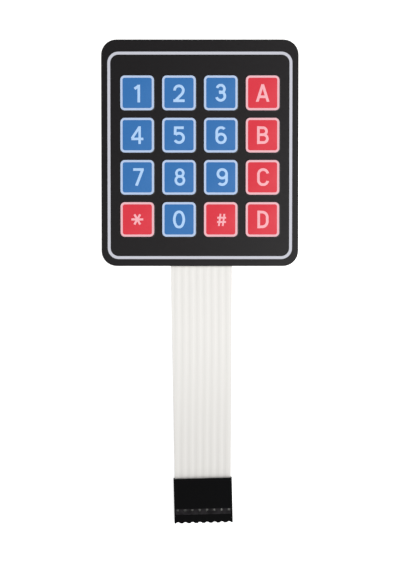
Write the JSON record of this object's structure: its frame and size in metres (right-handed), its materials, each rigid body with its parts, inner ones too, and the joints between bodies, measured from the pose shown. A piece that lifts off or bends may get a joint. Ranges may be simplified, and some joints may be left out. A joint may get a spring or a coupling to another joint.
{
  "type": "membrane keypad",
  "caption": "Flat self-adhesive membrane keypad: black printed face with a square grid of blue and red keys, a white film tail and a black in-line plug that takes header pins.",
  "frame": {"origin": "middle of the pad's back, on the release liner's outer face", "axes": "+Z out of the printed face, +Y to the top row of keys, the tail runs to -Y, +X to the right of the keys"},
  "size_m": [0.0682, 0.1678, 0.0026],
  "materials": {
    "release_paper": "smooth coated paper",
    "clear_adhesive": "clear pressure-sensitive adhesive",
    "circuit_film": "polyester film",
    "silver_ink": "silver-filled screen print",
    "spacer_adhesive": "double-sided adhesive film",
    "overlay_black": "fine-textured polyester, printed black",
    "white_print": "screen print",
    "blue_print": "screen print",
    "red_print": "screen print",
    "cover_film": "white cover film, satin",
    "housing_black": "moulded polyester, fine texture",
    "tinned_contact": "tin-plated stamped metal"
  },
  "bodies": {
    "root": {"release_liner": "release_paper", "rear_adhesive": "clear_adhesive", "lower_circuit_film": "circuit_film", "circuit_spacer": "spacer_adhesive", "upper_circuit_film": "circuit_film", "overlay_adhesive": "clear_adhesive", "graphic_overlay": "overlay_black", "white_line_print": "white_print", "blue_key_print": "blue_print", "red_key_print": "red_print", "tail_cover_film": "cover_film", "connector_housing": "housing_black", "row_trace_1": "silver_ink", "row_trace_2": "silver_ink", "row_trace_3": "silver_ink", "row_trace_4": "silver_ink", "column_trace_1": "silver_ink", "column_trace_2": "silver_ink", "column_trace_3": "silver_ink", "column_trace_4": "silver_ink", "connector_contact_1": "tinned_contact", "connector_contact_2": "tinned_contact", "connector_contact_3": "tinned_contact", "connector_contact_4": "tinned_contact", "connector_contact_5": "tinned_contact", "connector_contact_6": "tinned_contact", "connector_contact_7": "tinned_contact", "connector_contact_8": "tinned_contact"}
  },
  "joints": []
}
